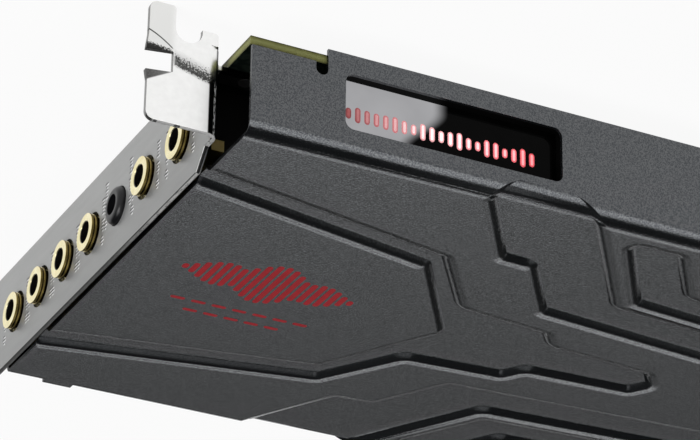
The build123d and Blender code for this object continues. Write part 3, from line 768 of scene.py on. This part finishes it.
def round_edges(shape, edges, width):
    """Rounds edges by a width."""
    bmesh.ops.bevel(shape, geom=edges, offset=width, segments=2, profile=0.5,
                    affect="EDGES", clamp_overlap=False)


def rounded(name, rounds):
    """A copy of a solid with chosen edges rounded, each kind by its own width."""
    shape = clean_copy(name)
    for width, chosen in rounds:
        round_edges(shape, [edge for edge in shape.edges if chosen(edge)], width)
    keep_on_solid(name, shape, max(width for width, chosen in rounds))
    finished(name, shape)


def keep_on_solid(name, shape, most):
    """Brings points that a rounding threw off their solid back to it."""
    tree = tree_of(name)
    for corner in shape.verts:
        spot, _, _, gap = tree.find_nearest(corner.co)
        if gap > most:
            corner.co = spot


def square_edge(edge):
    """Whether an edge is a sheared or turned corner."""
    return edge.calc_face_angle(0.0) > square_angle


def plate_outline(edge):
    """Whether an edge is one of the plate's long sheared sides."""
    first, second = (corner.co for corner in edge.verts)
    run = second - first
    low = max(first.y, second.y) < tab_foot
    upright = abs(run.y) > run.length / 2
    return square_edge(edge) and low and upright and run.length > long_edge


def small_corner(edge):
    """Whether an edge is one of the other sheared corners."""
    return square_edge(edge) and not plate_outline(edge)


def sloping(face):
    """Whether a face looks up at a slant."""
    return steepest < face.normal.z < gentlest


def pressed_wall(face):
    """Whether a face is a sloping wall on the outside of the cover's face, clear of the bends."""
    lowest = min(corner.co.z for corner in face.verts)
    if not sloping(face) or lowest < cover_high.z - press_depth - slack:
        return False
    middle = face.calc_center_median()
    inside = cover_low.y + press_margin < middle.y < cover_high.y - press_margin
    return inside and middle.x < cover_high.x - press_margin


def opening_edge(edge):
    """Whether an edge is a sheared one on the outside of the cover's upper wall."""
    outside = min(corner.co.y for corner in edge.verts) > cover_high.y - slack
    return outside and square_edge(edge)


def cut(shape, faces, level, direction):
    """Cuts faces by a plane, and gives all the faces that result."""
    corners = dict.fromkeys(corner for face in faces for corner in face.verts)
    edges = dict.fromkeys(edge for face in faces for edge in face.edges)
    result = bmesh.ops.bisect_plane(shape, geom=[*faces, *edges, *corners], dist=joined,
                                    plane_co=level, plane_no=direction)
    return [piece for piece in result["geom"] if isinstance(piece, bmesh.types.BMFace)]


def press_height(place):
    """The height of a point on a pressed wall: gentle at the plate's lip, steep at the foot."""
    share = min(max((cover_high.z - place.z) / press_depth, 0.0), 1.0)
    drop = lip_drop if place.x > cover_low.x + lip_start else 0.0
    return cover_high.z - drop - (press_depth - drop) * share ** press_curve


def on_plate(corner):
    """Whether a point is level with the raised plates."""
    return corner.co.z > cover_high.z - joined


def inset_plates(shape):
    """Adds two lines along the outline of the raised plates, for their lips."""
    plates = [face for face in shape.faces
              if face.normal.z > gentlest and all(map(on_plate, face.verts))]
    for _ in range(2):
        bmesh.ops.inset_region(shape, faces=plates, thickness=lip_width / 2, use_boundary=True,
                               use_even_offset=True)


def roll_face(shape):
    """Lets the cover's face fall away gently before its upper bend."""
    start = cover_high.y - bend_radius - roll_width
    lowest = cover_high.z - press_depth - bend_radius - slack
    outer = [face for face in shape.faces if face.normal.z > roll_facing
             and max(corner.co.y for corner in face.verts) > start
             and min(corner.co.z for corner in face.verts) > lowest]
    for step in range(roll_steps):
        level = Vector((0, start + roll_width * step / (roll_steps - 1), 0))
        outer = cut(shape, outer, level, Vector((0, 1, 0)))
    fall = roll_slope / (2 * roll_width)
    for corner in {corner for face in outer for corner in face.verts}:
        corner.co.z -= fall * max(corner.co.y - start, 0.0) ** 2


def pressed_walls(shape):
    """The pressed walls' faces, cut into steps and where the lips end beside the bracket."""
    upward = [face for face in shape.faces if face.normal.z > steepest]
    for reach in (lip_width / 2, lip_width):
        upward = cut(shape, upward, Vector((cover_low.x + reach, 0, 0)), Vector((1, 0, 0)))
    shape.normal_update()
    slopes = [face for face in upward if sloping(face)]
    for y in (cover_low.y + press_margin, cover_high.y - press_margin):
        slopes = cut(shape, slopes, Vector((0, y, 0)), Vector((0, 1, 0)))
    walls = [face for face in slopes if pressed_wall(face)]
    for step in range(1, press_steps):
        level = cover_high.z - press_depth * step / press_steps
        walls = cut(shape, walls, Vector((0, 0, level)), Vector((0, 0, 1)))
    return walls


def soften_walls(walls):
    """Draws the pressed walls into soft curves, and lowers the middle of the lips above them."""
    corners = {corner for face in walls for corner in face.verts}
    brink = {corner for corner in corners if on_plate(corner)}
    beside = {edge.other_vert(corner) for corner in brink for edge in corner.link_edges} - corners
    start = cover_low.x + lip_middle_start
    lips = [corner for corner in beside if on_plate(corner) and corner.co.x > start]
    for corner in corners:
        corner.co.z = press_height(corner.co)
    for corner in lips:
        corner.co.z -= lip_middle_drop


def pressed_cover():
    """The cover, with its pressed walls drawn into soft curves and a soft roll along its upper bend."""
    shape = clean_copy("shield_cover")
    shape.normal_update()
    inset_plates(shape)
    shape.normal_update()
    walls = pressed_walls(shape)
    sheared = [edge for edge in shape.edges if opening_edge(edge)]
    soften_walls(walls)
    roll_face(shape)
    round_edges(shape, sheared, sheet_edge)
    finished("shield_cover", shape)


def new_piece(name, shape, material):
    """A mesh piece that rides on the card, with the finish it is given."""
    mesh = bpy.data.meshes.new(name)
    bmesh.ops.recalc_face_normals(shape, faces=shape.faces)
    shape.to_mesh(mesh)
    shape.free()
    mesh.materials.append(material)
    piece = bpy.data.objects.new(name, mesh)
    bpy.context.scene.collection.objects.link(piece)
    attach(piece, "root")
    return piece


def pill(shape, middle, along, across, out, length, width, thickness, corner_steps=5):
    """Adds a bar with round ends, lying on a surface whose outward direction is out."""
    radius = width / 2
    reach = max(length / 2 - radius, 0.0)
    ring = []
    for end, turn in ((1, -math.pi / 2), (-1, math.pi / 2)):
        for step in range(corner_steps + 1):
            angle = turn + math.pi * step / corner_steps
            offset = along * (end * reach + radius * math.cos(angle)) + across * radius * math.sin(angle)
            ring.append(middle + offset)
    base = [shape.verts.new(point) for point in ring]
    top = [shape.verts.new(middle + (point - middle) * mark_taper + out * thickness) for point in ring]
    shape.faces.new(top)
    shape.faces.new(base[::-1])
    for index, corner in enumerate(base):
        follower = (index + 1) % len(base)
        shape.faces.new((corner, base[follower], top[follower], top[index]))


def tree_of(name):
    """A solid's faces, ready for rays."""
    mesh = nodes[name].data
    places = [corner.co for corner in mesh.vertices]
    return BVHTree.FromPolygons(places, [face.vertices for face in mesh.polygons])


def height_over(name):
    """A function that gives the top of a solid above a point."""
    tree = tree_of(name)

    def height(x, y):
        start = Vector((x, y, cad_box[1].z + ray_clearance))
        return tree.ray_cast(start, Vector((0, 0, -1)))[0].z

    return height


def wave_swell(share):
    """How tall the sound wave is along its length: thin ends, and waists between its swells."""
    return math.sin(math.pi * share) * (0.45 + 0.55 * abs(math.sin(2.6 * math.pi * share + 0.5)))


def face_wave():
    """A sound wave in red bars on the cover's face, over two dashed rules."""
    shape = bmesh.new()
    height = height_over("shield_cover")
    right, up, out = Vector((1, 0, 0)), Vector((0, 1, 0)), Vector((0, 0, 1))
    middle_y = cover_high.y - wave_middle
    for index in range(wave_bars):
        length = wave_shortest + (wave_tallest - wave_shortest) * wave_swell(index / (wave_bars - 1))
        x = cover_low.x + wave_start + index * wave_pitch
        middle = Vector((x, middle_y, height(x, middle_y)))
        pill(shape, middle, up, right, out, length, wave_bar_width, paint_thickness)
    rule_middle = cover_low.x + wave_start + (wave_bars - 1) * wave_pitch / 2
    for drop, count in zip(wave_rule_drops, wave_dash_counts):
        for index in range(count):
            x = rule_middle + (index - (count - 1) / 2) * (wave_dash + wave_dash_gap)
            y = middle_y - drop
            middle = Vector((x, y, height(x, y)))
            pill(shape, middle, right, up, out, wave_dash, wave_rule_width, paint_thickness)
    new_piece("face_wave", shape, signal_red())


def meter_swing(index):
    """How high a bar of the level meter stands, from two beats that run at their own pace."""
    return abs(math.sin(0.9 * index)) * 0.6 + abs(math.cos(2.3 * index)) * 0.4


def window_meter(name, material, margin, thickness):
    """A row of lit bars on the lens, like a level meter, drawn in by a margin."""
    shape = bmesh.new()
    right, up, out = Vector((1, 0, 0)), Vector((0, 0, 1)), Vector((0, 1, 0))
    for index in range(meter_bars):
        height = meter_shortest + (meter_tallest - meter_shortest) * meter_swing(index)
        x = lens_low.x + meter_margin + index * meter_pitch
        middle = Vector((x, lens_high.y, lens_low.z + meter_middle))
        width = meter_bar_width - 2 * margin
        pill(shape, middle, up, right, out, height - 2 * margin, width, thickness)
    new_piece(name, shape, material)


def socket_middles():
    """The middle of each socket's mouth, along and across the bracket."""
    fronts = [name for name in nodes if name.endswith("_bushing") or name == "dark_socket_body"]
    for name in sorted(fronts):
        low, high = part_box(name)
        yield Vector((0.0, (low.y + high.y) / 2, (low.z + high.z) / 2))


def bracket_ticks(name, material, shift):
    """Rows of small ticks etched across the bracket beside each socket."""
    shape = bmesh.new()
    outer = outer_face()
    along, across, out = Vector((0, 1, 0)), Vector((0, 0, 1)), Vector((-1, 0, 0))
    rows = [socket + along * side for socket in socket_middles() for side in tick_sides]
    for row in rows:
        for index in range(tick_count):
            if index in tick_gaps:
                continue
            length = tick_lengths[index % len(tick_lengths)]
            z = row.z + (index - (tick_count - 1) / 2) * tick_pitch
            middle = Vector((outer, row.y + shift, z + shift))
            pill(shape, middle, along, across, out, length, tick_width, tick_depth, tick_end_steps)
    new_piece(name, shape, material)


def outer_face():
    """Where the bracket's plate faces outwards, just below the dark socket."""
    low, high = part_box("dark_socket_body")
    start = Vector((bracket_low.x - ray_clearance, low.y - ray_clearance, (low.z + high.z) / 2))
    return tree_of("slot_bracket").ray_cast(start, Vector((1, 0, 0)))[0].x


def islands(name):
    """The boxes of a node's separate solids."""
    shape = bmesh.new()
    shape.from_mesh(nodes[name].data)
    bmesh.ops.remove_doubles(shape, verts=shape.verts, dist=joined)
    known = set()
    for first in shape.verts:
        if first in known:
            continue
        known.add(first)
        group = [first]
        for corner in group:
            near = [link.other_vert(corner) for link in corner.link_edges]
            fresh = [other for other in near if other not in known]
            known.update(fresh)
            group.extend(fresh)
        places = [corner.co.copy() for corner in group]
        yield [Vector(map(pick, zip(*places))) for pick in (min, max)]
    shape.free()


def solder_joint(shape, middle, drop):
    """Adds one cone of solder that rises from its pad to the pin."""
    rings = []
    for share, fall in solder_profile:
        ring = []
        for side in range(solder_sides):
            angle = 2 * math.pi * side / solder_sides
            spot = Vector((math.cos(angle), math.sin(angle), 0)) * solder_radius * share
            ring.append(shape.verts.new(middle + spot + Vector((0, 0, -drop * fall))))
        rings.append(ring)
    for outer, inner in zip(rings, rings[1:]):
        for side in range(solder_sides):
            after = (side + 1) % solder_sides
            face = shape.faces.new((outer[side], outer[after], inner[after], inner[side]))
            face.smooth = True
    shape.faces.new(rings[0][::-1])
    shape.faces.new(rings[-1])


def solder_joints():
    """A joint round each pin that comes through the board."""
    shape = bmesh.new()
    for name in nodes:
        if not name.endswith("_pins"):
            continue
        for low, high in islands(name):
            middle = Vector(((low.x + high.x) / 2, (low.y + high.y) / 2, board_low.z))
            solder_joint(shape, middle, (board_low.z - low.z) * solder_share)
    new_piece("solder_joints", shape, solder())


def floor_paint():
    """Pale paint that is seen as nearly white and still takes a shadow."""
    look = Look("floor", {"Roughness": 0.9})
    mottle = look.noise(3.0, 2.0)
    look.paint(look.ramp(mottle, [(0.3, grey(0.80)), (0.7, grey(0.82))]))
    path = look.tree.nodes.new("ShaderNodeLightPath").outputs
    seen = look.either(path["Is Camera Ray"], path["Is Glossy Ray"])
    seen = look.either(seen, path["Is Transmission Ray"])
    glow = look.add("ShaderNodeEmission", {"Strength": 1.0})
    shown = look.add("ShaderNodeMixShader", {"Fac": look.sums("MULTIPLY", seen, floor_glow)})
    look.feed(shown.inputs[1], look.shader.outputs["BSDF"])
    look.feed(shown.inputs[2], glow.outputs["Emission"])
    look.feed(look.tree.nodes["Material Output"].inputs["Surface"], shown.outputs["Shader"])
    return look.material


def floor():
    """A wide floor that the card lies on."""
    shape = bmesh.new()
    sides = ((-1, -1), (1, -1), (1, 1), (-1, 1))
    corners = [Vector((x * floor_reach, y * floor_reach, cad_box[0].z)) for x, y in sides]
    shape.faces.new([shape.verts.new(corner) for corner in corners])
    mesh = bpy.data.meshes.new("floor")
    shape.to_mesh(mesh)
    shape.free()
    mesh.materials.append(floor_paint())
    plane = bpy.data.objects.new("floor", mesh)
    bpy.context.scene.collection.objects.link(plane)


def room_light(room):
    """How bright the room is: a lit stretch in front and behind, dark overhead, white at the horizon."""
    rise = room.sums("ARCSINE", room.axis("Z", "Generated"), 0.0)
    share = room.sums("DIVIDE", rise, math.pi / 2)
    across = room.axis("X", "Generated")
    stretch = room.both(room.step(across, *stretch_start), room.step(across, *stretch_end))
    behind = room.ramp(share, [(place, grey(level)) for place, level in back_levels])
    behind = room.mix(stretch, grey(back_beside), behind)
    ahead = room.ramp(share, [(place, grey(level)) for place, level in front_levels])
    ahead = room.mix(stretch, grey(front_beside), ahead)
    light = room.mix(room.step(room.axis("Y", "Generated"), *back_to_front), behind, ahead)
    return room.mix(room.step(share, *horizon_band), light, grey(1.0))


def studio():
    """The room round the card, as the light that it gives."""
    world = bpy.data.worlds.new("studio")
    bpy.context.scene.world = world
    world.use_nodes = True
    room = Nodes(world.node_tree)
    room.feed(world.node_tree.nodes["Background"].inputs["Color"], room_light(room))


def key_lamp():
    """A square soft lamp aimed at the card."""
    data = bpy.data.lights.new("key_lamp", "AREA")
    data.size = key_size
    data.energy = key_power
    light = bpy.data.objects.new("key_lamp", data)
    light.visible_camera = False
    light.location = key_place
    aim = (cad_box[0] + cad_box[1]) / 2 - light.location
    light.rotation_euler = aim.to_track_quat("-Z", "Y").to_euler()
    bpy.context.scene.collection.objects.link(light)


def camera():
    """The camera at the photograph's place, angle and roll."""
    data = bpy.data.cameras.new("camera")
    data.sensor_fit = "HORIZONTAL"
    data.sensor_width = camera_sensor
    data.lens = camera_lens
    view = bpy.data.objects.new("camera", data)
    view.location = camera_eye
    view.rotation_mode = "QUATERNION"
    straight = (camera_aim - camera_eye).to_track_quat("-Z", "Y")
    view.rotation_quaternion = straight @ Quaternion((0, 0, 1), camera_roll)
    bpy.context.scene.collection.objects.link(view)
    bpy.context.scene.camera = view


dress_nodes(slot_looks())
pressed_cover()
rounded("slot_bracket", [(plate_edge, plate_outline), (sheet_edge, small_corner)])
for name in sorted(nodes):
    if name.endswith("_bushing"):
        rounded(name, [(turned_edge, square_edge)])
face_wave()
window_meter("window_meter", meter_rim(), 0.0, meter_thickness)
window_meter("window_meter_cores", meter_core(), meter_rim_width, meter_core_thickness)
bracket_ticks("bracket_ticks", etched("etch_dark", grey(0.012), grey(0.06)), 0.0)
# Painted highlights: pale copies of the ticks, offset beside them
bracket_ticks("bracket_tick_highlights", etched("etch_highlight", grey(0.75), grey(0.92)), tick_highlight_shift)
solder_joints()
floor()
studio()
key_lamp()
camera()
bpy.context.scene.view_settings.view_transform = "Standard"
